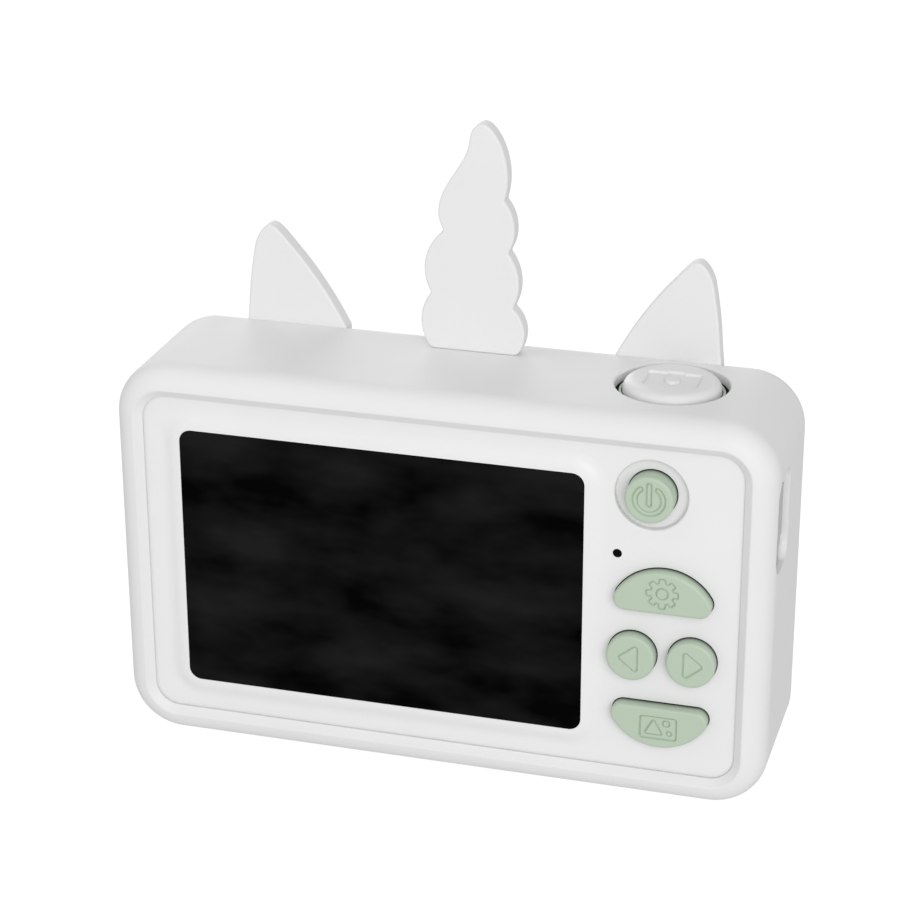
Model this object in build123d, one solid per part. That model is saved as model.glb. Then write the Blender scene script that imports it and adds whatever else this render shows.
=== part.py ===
from build123d import *
import os
from math import cos, pi, radians, sin

# A child's digital camera in a soft silicone sleeve with ears and a horn.
# +X is to the right of a person who looks at the screen, +Y points from the screen towards the lens,
# and +Z is up. The origin is under the middle of the whole camera, on the surface that it stands on.
# Depths below are measured from the outer face of the screen glass, positive towards the lens.

# ---- overall -------------------------------------------------------------------------------------
WIDTH = 118.75
HEIGHT = 72.1
CORNER_R = 9.9
BUTTON_PROUD = 1.55
LENS_FRONT = 33.75
GLASS_Y = -(LENS_FRONT - BUTTON_PROUD) / 2
FIT = 0.05   # clearance between two pieces that are pushed together
CUT = 1.0    # how far a cutting solid reaches past what it cuts
NEAR = 0.01  # how close two places are when they count as the same

# ---- sleeve --------------------------------------------------------------------------------------
SLEEVE_REAR = -0.95
SLEEVE_FRONT = 31.35
SLEEVE_WALL = 2.2
REAR_EDGE_R = 4.6
FRONT_EDGE_R = 4.3
LIP_CREST_INSET = 4.05
LIP_FOOT_INSET = 5.45
LIP_FOOT = 0.30
LIP_UNDERSIDE = 0.45
SOFT_EDGE_R = 0.4
CREST_R = 0.35

# ---- ears and horn -------------------------------------------------------------------------------
EAR_REAR = 28.05
EAR_OUTLINE = [(25.05, 0), (28.4, 5.8), (32.3, 11.3), (36.3, 16.0), (39.5, 18.2),
               (41.3, 16.5), (42.5, 12.7), (43.4, 6.4), (44.0, 0)]
EAR_BASE = (25.05, 44.0)
HORN_REAR = 22.3
HORN_THICKNESS = 3.2
HORN_NOTCH_R = 0.5
HORN_FOOT_R = 1.5
HORN_RIGHT_LOBES = [(8.5, 0.0), (9.85, 3.5), (7.7, 8.7), (8.8, 13.3), (6.8, 18.8), (8.0, 23.0), (6.1, 28.2)]
HORN_TIP = [(6.1, 28.2), (6.7, 32.4), (5.7, 37.6), (4.2, 40.3), (2.1, 41.7), (0.4, 40.6), (-0.3, 37.9),
            (-1.4, 35.0), (-4.6, 29.8), (-5.8, 26.1), (-4.8, 22.0)]
HORN_LEFT_LOBES = [(-4.8, 22.0), (-8.4, 14.9), (-7.2, 10.4), (-9.05, 5.0), (-7.3, 0.0)]
HORN_SLOT = (12.0, 2.2)
HORN_FLANGE = (15.0, 4.6, 0.7)

# ---- shells --------------------------------------------------------------------------------------
SHELL_GAP = 0.1
SHELL_WALL = 1.8
SHELL_INSET = SLEEVE_WALL + SHELL_GAP
SHELL_SPLIT = 18.0
SHELL_FRONT = SLEEVE_FRONT - SHELL_INSET
PLATE = 0.75
PLATE_INNER = 2.75
PLATE_RIM = LIP_UNDERSIDE + NEAR
PLATE_RIM_INSET = 4.8
FRONT_WALL_INNER = SHELL_FRONT - 2.0
SHELL_REAR_R = 2.3
SHELL_FRONT_R = 2.0
SHELL_TOP = HEIGHT - SHELL_INSET
REAR_POST_R, FRONT_POST_R, BOARD_POST_R, CAMERA_POST_R = 2.4, 2.6, 1.6, 2.0
POST_SINK = 0.5

# ---- screen --------------------------------------------------------------------------------------
SCREEN_X, SCREEN_Z = -10.25, 36.2
SCREEN_W, SCREEN_H, SCREEN_R = 73.4, 49.1, 2.2
GLASS_T = 1.2
FRAME_RIM = -0.05
FRAME_FLAT = 1.0
FRAME_SLOPE = 2.2
FRAME_SOFT_R = 4.0
LCD_W, LCD_H = 77.0, 53.5
LCD_FRONT, LCD_PANEL_BACK, LCD_BACK = 1.25, 2.65, 4.3
LCD_BEZEL_T = 0.3
LCD_ROOM = 0.4
LCD_FLEX_X, LCD_FLEX_TURN_Z, LCD_FLEX_Z = (-24.0, 0.0), 9.0, (24.0, 14.0)
FOAM_X, FOAM_W, FOAM_Z = (-40.0, 17.0), 5.0, (28.0, 58.0)

# ---- rear buttons --------------------------------------------------------------------------------
BUTTON_GAP = 0.15
BUTTON_TOP_R = 0.5
BUTTON_TRAVEL = 0.6
FLANGE = (PLATE_INNER + FIT, PLATE_INNER + 1.05)
FLANGE_WIDER = 0.8
STEM_END = 5.9
STEM_R = 1.5
ROUND_HOLE_R = 4.45
CLUSTER_X, CLUSTER_Z = 40.65, 27.9
ARROW_OFFSET = 5.27
MOON_R, MOON_CORNER_R = 9.8, 2.2
MOON_FLAT, MOON_APEX = 8.9, 16.95
POWER_X, POWER_Z = 37.9, 57.9
POWER_HOLE_R = 4.4
POWER_DISH_R, POWER_DISH, POWER_DISH_SOFT_R = 6.35, 1.25, 0.35
MIC_X, MIC_Z, MIC_HOLE_R = 32.25, 46.5, 0.82
MOON_STEM = 12.9
ICON_DEPTH = 0.25
GAUZE_FIT = 0.02

# ---- shutter -------------------------------------------------------------------------------------
SHUTTER_X, SHUTTER = 37.65, 17.1
SHUTTER_CAP_R = 8.6
SHUTTER_EDGE_R = 1.7
SHUTTER_COLLAR_R, SHUTTER_COLLAR_H, SHUTTER_SEAL_H = 9.2, 0.9, 0.5
SHUTTER_HOLE_R = 8.8
SLEEVE_HOLE_R = 10.0
SHUTTER_TOP = HEIGHT + 0.75
SHUTTER_ICON_DEPTH = 0.3
SHUTTER_TRAVEL = 0.8
SHUTTER_FLANGE_TOP = SHELL_TOP - SHELL_WALL - FIT
SHUTTER_FLANGE_R = 9.5
SHUTTER_STEM_BOTTOM = 64.4
SHUTTER_BOARD_Z = 58.9
SHUTTER_TAB_HALF, SHUTTER_TAB_T = 4.0, 1.2
SHUTTER_STEM_R = 2.0
SHUTTER_HOLLOW_WALL, SHUTTER_HOLLOW_H = 1.5, 1.8

# ---- side bays -----------------------------------------------------------------------------------
BAY = (2.6, 13.4)
BAY_Z = (44.1, 61.5)
BAY_R = 3.0
BAY_CUT = 5.0
DOOR_FACE_X = WIDTH / 2 - 0.95
DOOR_T = 1.27
HINGE_R = 1.0
HINGE_X, HINGE_DEPTH = DOOR_FACE_X - HINGE_R, 12.2
HINGE_PIN_R = 0.5
HINGE_PIN_SET_IN = 0.3
HINGE_CLEAR = 0.15
BARREL_END_CLEAR = 0.1
LUG_ROOT = 0.6
DOOR_GAP = 0.2
DOOR_CHEEK_GAP = 0.3
DOOR_NOTCH, DOOR_NOTCH_R, DOOR_NOTCH_DEPTH = 2.6, 0.8, 0.8
DOOR_NOTCH_SPOT = (1.2, 2.0)
LUG_Z = ((47.0, 48.4), (58.2, 59.6))
CHEEK_DEPTH, CHEEK_SINK = 10.35, 0.1
CHEEK_Z = (46.9, 59.7)
PORT_HOLE = (3.9, 11.15, 47.0, 59.6)
STRAP_POCKET = (3.6, 12.6, 47.5, 59.5)
STRAP_POCKET_DEPTH = 5.2
STRAP_POCKET_WALL = 1.2
STRAP_BAR_R = 1.0
STRAP_BAR_END = 0.9
PIN_FIT = 0.02
STRAP_BAR_X = -(WIDTH / 2 - 3.8)

# ---- boards and modules --------------------------------------------------------------------------
BOARD = (8.6, 9.8)
BOARD_POSTS = [(x, z) for x in (-52.2, 52.2) for z in (20.0, 37.0)]
CASE_POSTS = [(x, z) for x in (-52.3, 52.3) for z in (7.5, HEIGHT - 7.5)]
BOARD_X = 54.0
BOARD_Z = (5.0, 65.5)
BOARD_CORNER = 5.0
BOARD_POCKET_GAP = 1.6
# centre X, centre Z, width, height and thickness
CHIPS = [(-20.0, 32.0, 12.0, 12.0, 1.2), (-20.0, 48.0, 8.0, 11.0, 1.1), (-38.0, 46.0, 5.0, 5.0, 0.9),
         (10.0, 50.0, 6.0, 8.0, 1.6), (28.0, 40.0, 5.0, 6.0, 1.3), (0.0, 58.0, 3.2, 2.5, 0.8)]
SWITCH_SPOTS = [(CLUSTER_X - ARROW_OFFSET, CLUSTER_Z), (CLUSTER_X + ARROW_OFFSET, CLUSTER_Z),
                (CLUSTER_X, CLUSTER_Z - MOON_STEM), (CLUSTER_X, CLUSTER_Z + MOON_STEM), (POWER_X, POWER_Z)]
SWITCH_HALF, SWITCH_PLUNGER_R, SWITCH_PLUNGER_H = 2.3, 1.1, 0.6
SHUTTER_SWITCH_HALF, SHUTTER_PLUNGER_R, SHUTTER_PLUNGER_H = 3.0, 1.7, 0.9
RIBBON_T = 0.15
SHUTTER_BOARD_T = 1.0
SHUTTER_BOARD_HALF_X, SHUTTER_BOARD_HALF_Y = 11.3, 5.0
SHUTTER_SCREWS = (29.85, 45.45)
SHUTTER_POST_HALF, SHUTTER_POST_DEPTH, SHUTTER_POST_H = 1.3, 14.0, 4.4
BATTERY = (19.5, 26.0)
BATTERY_X = (17.0, 49.0)
BATTERY_Z = (8.5, 50.5)
BATTERY_R = 2.0
PAD_X, PAD_Z = (20.0, 46.0), (14.0, 46.0)
WIRE_X, WIRE_R, WIRE_SPREAD = 22.0, 0.45, 0.8
WIRE_DEPTHS, WIRE_RISE = (22.5, 17.0, 11.1), 2.2
PLUG_Z, PLUG_HALF, PLUG_HEIGHT, PLUG_END = 48.0, 2.5, 3.0, 12.3
MIC_R, MIC_BOOT_R, MIC_T = 2.0, 2.8, 2.8
MIC_BOOT_END = BOARD[0] - 0.1
MIC_GAUZE = (PLATE + 0.15, PLATE + 0.4)
USB_X, USB_Z = (49.5, 56.9), 53.3
USB_W, USB_T, USB_METAL = 8.94, 3.2, 0.3
USB_TONGUE = (0.7, 6.2)
USB_BACK, USB_TONGUE_ROOT, USB_TONGUE_END = 1.0, 0.5, 1.2
CARD = (10.2, 10.9)
CARD_X, CARD_Z = (41.5, 56.4), (47.8, 58.8)
CARD_PUSH = 0.6
CARD_NOTCH = (6.5, 1.3)
CARD_CLEAR = 0.1
SOCKET_END = 54.4
SOCKET_BACK, SOCKET_SIDE, SOCKET_COVER = 1.4, 0.7, 0.35
LENS_Z = 37.0
SENSOR_BOARD = (17.2, 18.4)
WINDOW, WINDOW_R = (31.9, 33.1), 12.1
BEZEL_R = 15.2
BEZEL_GAP, BEZEL_SOFT_R, BEZEL_WIDTH, WINDOW_SHELF, BEZEL_BACK = 0.2, 0.9, 3.0, 2.0, 1.0
LENS_HOLE_R = 9.5
# radius and depth pairs round the lens barrel
BARREL = [(5.2, 20.0), (5.2, SENSOR_BOARD[1]), (7.5, SENSOR_BOARD[1]), (7.5, 24.0), (8.2, 24.0),
          (8.2, 31.2), (6.0, 31.2), (5.0, 29.2), (5.0, 26.0), (4.2, 25.2), (4.2, 20.0)]
ELEMENT_R, ELEMENT_DEPTHS, ELEMENT_BALL_R, ELEMENT_BALL_BACK = 5.0, (27.6, 29.2, 31.0), 9.87, 8.5
SENSOR_BOARD_HALF_X, SENSOR_BOARD_HALF_Z = 16.0, 7.0
SENSOR_X, SENSOR_HALF_Z, SENSOR_T = 4.0, 2.5, 1.2
CAMERA_FLEX_HALF, CAMERA_FLEX_Z = 6.0, (36.0, 32.0, 26.0, 22.0)
CAMERA_POSTS = (-13.0, 13.0)
FLASH_X, FLASH_Z = -24.0, 54.0
FLASH_BASE_R, FLASH_BASE_T, FLASH_DOME_R, FLASH_HOLE_R = 4.4, 1.0, 1.8, 2.8
FLASH_WINDOW_R, FLASH_WINDOW_GAP, FLASH_WINDOW_SINK = 3.6, 0.1, 0.3
SPEAKER_X, SPEAKER_Z, SPEAKER_R = -36.0, 21.0, 10.0
SPEAKER_RIM_T, SPEAKER_T, SPEAKER_MAGNET = 1.6, 4.2, 0.6
SPEAKER_HOLES, SPEAKER_RING_R, SPEAKER_HOLE_R, SLEEVE_SPEAKER_HOLE_R = 6, 4.0, 0.8, 1.0

# ---- screws: head radius, shank radius, pilot hole radius ----------------------------------------
CASE_SCREW = (2.0, 0.95, 0.97)
CASE_SCREW_HEAD, CASE_SCREW_TIP, CASE_PILOT_START = (27.6, 28.95), 10.0, 9.0
CASE_SCREW_CLEAR_R, CASE_SCREW_SINK_R, CASE_SCREW_SINK = 1.1, 2.1, 1.45
BOARD_SCREW = (1.7, 0.85, 0.87)
BOARD_SCREW_HEAD, BOARD_SCREW_TIP, BOARD_PILOT_START = (BOARD[1], BOARD[1] + 1.1), 4.5, 4.0
CAMERA_SCREW = (1.8, 0.8, 0.82)
CAMERA_SCREW_HEAD_T, CAMERA_SCREW_TIP, CAMERA_PILOT_END = 1.1, 22.5, 23.0
SHUTTER_SCREW = (1.7, 0.8, 0.82)
SHUTTER_SCREW_HEAD_T, SHUTTER_SCREW_LENGTH = 1.0, 4.0
BOARD_HOLE_R, SENSOR_HOLE_R = 1.1, 1.0
CROSS_SIZE, CROSS_DEPTH = 1.3, 0.5


# ---- helpers -------------------------------------------------------------------------------------
def slab(sketch, start, end):
    """Extrude a sketch drawn in X and Z between two depths."""
    return extrude(Plane.XZ.offset(-(GLASS_Y + end)) * sketch, end - start)


def upright(sketch, bottom, top):
    """Extrude a sketch drawn in X and depth between two heights."""
    return extrude(Plane((0, GLASS_Y, bottom)) * sketch, top - bottom)


def sideways(sketch, left, right):
    """Extrude a sketch drawn in depth and Z between two X places."""
    return extrude(Plane((left, GLASS_Y, 0), x_dir=(0, 1, 0), z_dir=(1, 0, 0)) * sketch, right - left)


def block(x0, x1, d0, d1, z0, z1):
    """A box between two X places, two depths and two heights."""
    return slab(Pos((x0 + x1) / 2, (z0 + z1) / 2) * Rectangle(x1 - x0, z1 - z0), d0, d1)


def disc(x, z, radius, start, end):
    """A cylinder along Y between two depths."""
    return slab(Pos(x, z) * Circle(radius), start, end)


def post(x, depth, radius, bottom, top):
    """A cylinder along Z between two heights."""
    return upright(Pos(x, depth) * Circle(radius), bottom, top)


def body_outline(inset):
    """The camera's rounded outline seen from the rear, moved inwards by inset."""
    return Pos(0, HEIGHT / 2) * RectangleRounded(WIDTH - 2 * inset, HEIGHT - 2 * inset, CORNER_R - inset)


def screen_outline(grow):
    """The screen's rounded outline, moved outwards by grow."""
    corner = SCREEN_R + max(grow, 0)
    return Pos(SCREEN_X, SCREEN_Z) * RectangleRounded(SCREEN_W + 2 * grow, SCREEN_H + 2 * grow, corner)


def body_block(inset, start, end, rear_r, front_r):
    """A block with the body's outline and rounded rear and front edges."""
    solid = slab(body_outline(inset), start, end)
    if rear_r:
        solid = fillet(solid.edges().group_by(Axis.Y)[0], rear_r)
    if front_r:
        solid = fillet(solid.edges().group_by(Axis.Y)[-1], front_r)
    return solid


def bay_outline(inset=0.0):
    """The rounded opening in the sleeve's side, drawn in depth and Z."""
    (d0, d1), (z0, z1) = BAY, BAY_Z
    shape = RectangleRounded(d1 - d0 - 2 * inset, z1 - z0 - 2 * inset, BAY_R - inset)
    return Pos((d0 + d1) / 2, (z0 + z1) / 2) * shape


def place(name, made):
    """Write one node, a single solid or a group of separate ones."""
    shape = Compound(children=list(made)) if isinstance(made, list) else made
    shape.label = name
    export_step(shape, f"parts/{name}.step")


# ---- sleeve, ears and horn -----------------------------------------------------------------------
def ear(side):
    """One flat ear that stands on the sleeve's front edge; side is +1 or -1."""
    points = [(side * x, HEIGHT + z) for x, z in EAR_OUTLINE]
    inner, outer = (side * x for x in EAR_BASE)
    root = HEIGHT - FRONT_EDGE_R
    outline = Spline(*points) + Polyline(points[-1], (outer, root), (inner, root), points[0])
    solid = slab(make_face(outline), EAR_REAR, SLEEVE_FRONT)
    return fillet(solid.edges().filter_by(GeomType.BSPLINE), SOFT_EDGE_R)


def lobes(points):
    """Arcs through a list of notch, bulge, notch, bulge and so on, lifted on to the sleeve's top."""
    lifted = [(x, HEIGHT + z) for x, z in points]
    return [ThreePointArc(*lifted[i:i + 3]) for i in range(0, len(lifted) - 2, 2)]


def horn_face():
    """The horn's outline: round lobes up each side and a bent tip."""
    tip = Spline(*[(x, HEIGHT + z) for x, z in HORN_TIP])
    edges = lobes(HORN_RIGHT_LOBES) + [tip] + lobes(HORN_LEFT_LOBES)
    base = Line((HORN_LEFT_LOBES[-1][0], HEIGHT), (HORN_RIGHT_LOBES[0][0], HEIGHT))
    face = make_face(Curve() + edges + [base])
    face = fillet(face.vertices().group_by(Axis.Y)[0], HORN_FOOT_R)
    notches = face.vertices().filter_by(lambda corner: corner.Y > HEIGHT + 2 * HORN_FOOT_R)
    return fillet(notches, HORN_NOTCH_R)


def horn():
    plate = slab(horn_face(), HORN_REAR, HORN_REAR + HORN_THICKNESS)
    faces = plate.edges().filter_by(Axis.Y, reverse=True).group_by(Axis.Y)
    plate = fillet(faces[0] + faces[-1], SOFT_EDGE_R)
    width, thickness = HORN_SLOT
    middle = HORN_REAR + HORN_THICKNESS / 2
    neck_bottom = SHELL_TOP
    neck = upright(Pos(0, middle) * Rectangle(width, thickness), neck_bottom, HEIGHT)
    flange_w, flange_d, flange_t = HORN_FLANGE
    flange = upright(Pos(0, middle) * Rectangle(flange_w, flange_d), neck_bottom, neck_bottom + flange_t)
    return plate + neck + flange


def horn_socket():
    """The slot and the recess under it that hold the horn's root."""
    width, thickness = HORN_SLOT
    flange_w, flange_d, flange_t = HORN_FLANGE
    middle = HORN_REAR + HORN_THICKNESS / 2
    slot = upright(Pos(0, middle) * Rectangle(width + FIT, thickness + FIT), SHELL_TOP, HEIGHT + CUT)
    grow = 2 * FIT
    recess = Rectangle(flange_w + grow, flange_d + grow)
    return slot + upright(Pos(0, middle) * recess, SHELL_TOP - CUT, SHELL_TOP + flange_t + FIT)


def sleeve_mouth():
    """The opening round the rear plate, with the lip's inward slope."""
    run = LIP_FOOT_INSET - LIP_CREST_INSET
    slope = run / (LIP_FOOT - SLEEVE_REAR)
    start = SLEEVE_REAR - CUT
    outer_inset = LIP_CREST_INSET - slope
    sections = [Plane.XZ.offset(-(GLASS_Y + depth)) * body_outline(inset)
                for depth, inset in ((start, outer_inset), (LIP_FOOT, LIP_FOOT_INSET))]
    return loft(sections, ruled=True) + slab(body_outline(LIP_FOOT_INSET), LIP_FOOT, LIP_UNDERSIDE + CUT)


def speaker_holes(radius, start, end):
    """A ring of holes round one."""
    turns = [2 * pi * i / SPEAKER_HOLES for i in range(SPEAKER_HOLES)]
    spots = [(0, 0)] + [(SPEAKER_RING_R * cos(turn), SPEAKER_RING_R * sin(turn)) for turn in turns]
    return [disc(SPEAKER_X + x, SPEAKER_Z + z, radius, start, end) for x, z in spots]


def soften_sleeve(solid):
    """Round the lip's crest and the rim of the shutter's opening."""
    rearmost = GLASS_Y + SLEEVE_REAR + CREST_R / 2
    crest = solid.edges().filter_by(lambda edge: edge.bounding_box().max.Y < rearmost)
    solid = fillet(crest, CREST_R)
    top = solid.edges().filter_by(GeomType.CIRCLE).filter_by_position(Axis.Z, HEIGHT - NEAR, HEIGHT + NEAR)
    return fillet(top, SOFT_EDGE_R)


def silicone_sleeve():
    solid = body_block(0, SLEEVE_REAR, SLEEVE_FRONT, REAR_EDGE_R, FRONT_EDGE_R)
    solid += ear(1) + ear(-1)
    solid -= body_block(SLEEVE_WALL, LIP_UNDERSIDE, SLEEVE_FRONT - SLEEVE_WALL, SHELL_REAR_R, SHELL_FRONT_R)
    solid -= sleeve_mouth()
    solid -= post(SHUTTER_X, SHUTTER, SLEEVE_HOLE_R, SHELL_TOP - CUT, HEIGHT + CUT)
    solid -= sideways(bay_outline(), WIDTH / 2 - BAY_CUT, WIDTH / 2 + CUT)
    solid -= sideways(bay_outline(), -WIDTH / 2 - CUT, -WIDTH / 2 + BAY_CUT)
    solid -= horn_socket()
    through = SHELL_FRONT - CUT, SLEEVE_FRONT + CUT
    solid -= disc(0, LENS_Z, BEZEL_R + BEZEL_GAP, *through)
    solid -= disc(FLASH_X, FLASH_Z, FLASH_WINDOW_R + FLASH_WINDOW_GAP, *through)
    solid -= speaker_holes(SLEEVE_SPEAKER_HOLE_R, *through)
    return soften_sleeve(solid)


# ---- shells --------------------------------------------------------------------------------------
def moon(side, grow=0.0):
    """A half-moon outline with its flat side towards the middle of the cluster; side is +1 or -1."""
    radius = MOON_R + grow
    centre = MOON_APEX - MOON_R
    flat = MOON_FLAT - grow
    circle = Pos(0, side * centre) * Circle(radius)
    cut = Pos(0, side * (flat + radius)) * Rectangle(4 * radius, 2 * radius)
    half = circle & cut
    corners = half.vertices()
    return Pos(CLUSTER_X, CLUSTER_Z) * fillet(corners, MOON_CORNER_R + grow)


def button_holes():
    """The openings for the five rear buttons and the microphone."""
    through = -CUT, PLATE_INNER + CUT
    holes = [disc(CLUSTER_X + s * ARROW_OFFSET, CLUSTER_Z, ROUND_HOLE_R, *through) for s in (-1, 1)]
    holes += [slab(moon(s), *through) for s in (-1, 1)]
    holes += [disc(POWER_X, POWER_Z, POWER_HOLE_R, *through),
              disc(POWER_X, POWER_Z, POWER_DISH_R, -CUT, PLATE + POWER_DISH),
              disc(MIC_X, MIC_Z, MIC_HOLE_R, *through)]
    return holes


def screen_frame():
    """The soft raised frame round the screen."""
    base = Plane.XZ.offset(-(GLASS_Y + PLATE)) * screen_outline(FRAME_FLAT + FRAME_SLOPE)
    rim = Plane.XZ.offset(-(GLASS_Y + FRAME_RIM)) * screen_outline(FRAME_FLAT)
    return loft([base, rim], ruled=True)


def soften_frame(solid):
    """Turn the frame's straight slope into a soft S by rounding its crest and its foot."""
    reach_x = SCREEN_W / 2 + FRAME_FLAT + FRAME_SLOPE + NEAR
    reach_z = SCREEN_H / 2 + FRAME_FLAT + FRAME_SLOPE + NEAR
    for depth in (FRAME_RIM, PLATE):
        edges = solid.edges().filter_by(
            lambda edge: abs(edge.center().Y - GLASS_Y - depth) < NEAR
            and abs(edge.center().X - SCREEN_X) < reach_x and abs(edge.center().Z - SCREEN_Z) < reach_z)
        solid = fillet(edges, FRAME_SOFT_R)
    return solid


def soften_dish(solid):
    """Round the rim of the dish round the power button."""
    rim = solid.edges().filter_by(GeomType.CIRCLE).filter_by(
        lambda edge: abs(edge.radius - POWER_DISH_R) < NEAR and abs(edge.center().Y - GLASS_Y - PLATE) < NEAR)
    return fillet(rim, POWER_DISH_SOFT_R)


def strap_pocket_walls():
    d0, d1, z0, z1 = STRAP_POCKET
    wall = STRAP_POCKET_WALL
    outer = -WIDTH / 2 + SHELL_INSET + SHELL_WALL / 2
    inner = -WIDTH / 2 + SHELL_INSET + STRAP_POCKET_DEPTH + wall
    return block(outer, inner, d0 - wall, d1 + wall, z0 - wall, z1 + wall)


def strap_pocket():
    d0, d1, z0, z1 = STRAP_POCKET
    outer = -WIDTH / 2 + SHELL_INSET
    return block(outer - CUT, outer + STRAP_POCKET_DEPTH, d0, d1, z0, z1)


def hinge_lugs():
    """Two lugs on the right wall that hold the door's pin."""
    wall = WIDTH / 2 - SHELL_INSET
    lugs = []
    for z0, z1 in LUG_Z:
        lugs.append(post(HINGE_X, HINGE_DEPTH, HINGE_R, z0, z1))
        lugs.append(block(wall - LUG_ROOT, HINGE_X, HINGE_DEPTH - HINGE_R, HINGE_DEPTH + HINGE_R, z0, z1))
    return lugs


def hinge_cheeks():
    """Two fixed corners of the ports' opening, above and below the door's hinge."""
    root = WIDTH / 2 - SHELL_INSET - LUG_ROOT
    corners = sideways(bay_outline(DOOR_GAP), root, DOOR_FACE_X - CHEEK_SINK)
    corners -= block(root - CUT, DOOR_FACE_X + CUT, BAY[0], CHEEK_DEPTH, *BAY_Z)
    return corners - block(root - CUT, DOOR_FACE_X + CUT, *BAY, *CHEEK_Z)


def screen_opening():
    """The window in the rear plate, and the room behind it for the display's tray."""
    half_x, half_z = LCD_W / 2 + LCD_ROOM, LCD_H / 2 + LCD_ROOM
    room = block(SCREEN_X - half_x, SCREEN_X + half_x, GLASS_T + FIT, PLATE_INNER + CUT,
                 SCREEN_Z - half_z, SCREEN_Z + half_z)
    return [slab(screen_outline(FIT), -CUT, PLATE_INNER + CUT), room]


def hinge_pin(grow=0.0):
    """The steel pin that the door turns on, with its radius made larger by grow."""
    bottom, top = LUG_Z[0][0] + HINGE_PIN_SET_IN, LUG_Z[1][1] - HINGE_PIN_SET_IN
    return post(HINGE_X, HINGE_DEPTH, HINGE_PIN_R + grow, bottom, top)


def strap_bar(grow=0.0):
    """The steel bar across the strap's pocket, with its radius made larger by grow."""
    d0, d1, z0, z1 = STRAP_POCKET
    return post(STRAP_BAR_X, (d0 + d1) / 2, STRAP_BAR_R + grow, z0 - STRAP_BAR_END, z1 + STRAP_BAR_END)


def shutter_opening():
    return post(SHUTTER_X, SHUTTER, SHUTTER_HOLE_R, SHELL_TOP - SHELL_WALL - CUT, SHELL_TOP + CUT)


def rear_shell():
    solid = body_block(SHELL_INSET, PLATE_RIM, SHELL_SPLIT, SHELL_REAR_R - SHELL_GAP, 0)
    solid -= slab(body_outline(PLATE_RIM_INSET), PLATE_RIM - CUT, PLATE)
    solid -= slab(body_outline(SHELL_INSET + SHELL_WALL), PLATE_INNER, SHELL_SPLIT)
    solid = soften_frame(solid + screen_frame())
    solid += strap_pocket_walls()
    solid += [disc(x, z, REAR_POST_R, PLATE_INNER - POST_SINK, SHELL_SPLIT) for x, z in CASE_POSTS]
    solid += [disc(x, z, BOARD_POST_R, PLATE_INNER - POST_SINK, BOARD[0]) for x, z in BOARD_POSTS]
    solid += hinge_lugs()
    solid += hinge_cheeks()
    solid -= screen_opening()
    solid = soften_dish(solid - button_holes())
    solid -= block(WIDTH / 2 - BAY_CUT - CUT, WIDTH / 2, *PORT_HOLE)
    solid -= post(HINGE_X, HINGE_DEPTH, HINGE_R + HINGE_CLEAR, LUG_Z[0][1], LUG_Z[1][0])
    solid -= hinge_pin(PIN_FIT)
    solid -= strap_pocket()
    solid -= strap_bar(PIN_FIT)
    solid -= shutter_opening()
    solid -= [disc(x, z, CASE_SCREW[2], CASE_PILOT_START, SHELL_SPLIT) for x, z in CASE_POSTS]
    solid -= [disc(x, z, BOARD_SCREW[2], BOARD_PILOT_START, BOARD[0]) for x, z in BOARD_POSTS]
    return solid


def front_shell():
    solid = body_block(SHELL_INSET, SHELL_SPLIT, SHELL_FRONT, 0, SHELL_FRONT_R - SHELL_GAP)
    solid -= slab(body_outline(SHELL_INSET + SHELL_WALL), SHELL_SPLIT, FRONT_WALL_INNER)
    solid += [disc(x, z, FRONT_POST_R, SHELL_SPLIT, FRONT_WALL_INNER) for x, z in CASE_POSTS]
    solid += [disc(x, LENS_Z, CAMERA_POST_R, SENSOR_BOARD[1], FRONT_WALL_INNER) for x in CAMERA_POSTS]
    for x in SHUTTER_SCREWS:
        solid += block(x - SHUTTER_POST_HALF, x + SHUTTER_POST_HALF, SHUTTER_POST_DEPTH, FRONT_WALL_INNER,
                       SHUTTER_BOARD_Z - SHUTTER_POST_H, SHUTTER_BOARD_Z)
    through = FRONT_WALL_INNER - CUT, SHELL_FRONT + CUT
    solid -= disc(0, LENS_Z, LENS_HOLE_R + FIT, *through)
    solid -= disc(FLASH_X, FLASH_Z, FLASH_HOLE_R, *through)
    solid -= speaker_holes(SPEAKER_HOLE_R, *through)
    solid -= shutter_opening()
    solid -= [disc(x, z, CASE_SCREW_CLEAR_R, SHELL_SPLIT, SHELL_FRONT) for x, z in CASE_POSTS]
    solid -= [disc(x, z, CASE_SCREW_SINK_R, SHELL_FRONT - CASE_SCREW_SINK, SHELL_FRONT + CUT)
              for x, z in CASE_POSTS]
    solid -= [disc(x, LENS_Z, CAMERA_SCREW[2], SENSOR_BOARD[1], CAMERA_PILOT_END) for x in CAMERA_POSTS]
    solid -= [post(x, SHUTTER, SHUTTER_SCREW[2], SHUTTER_BOARD_Z - SHUTTER_SCREW_LENGTH, SHUTTER_BOARD_Z)
              for x in SHUTTER_SCREWS]
    return solid


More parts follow.
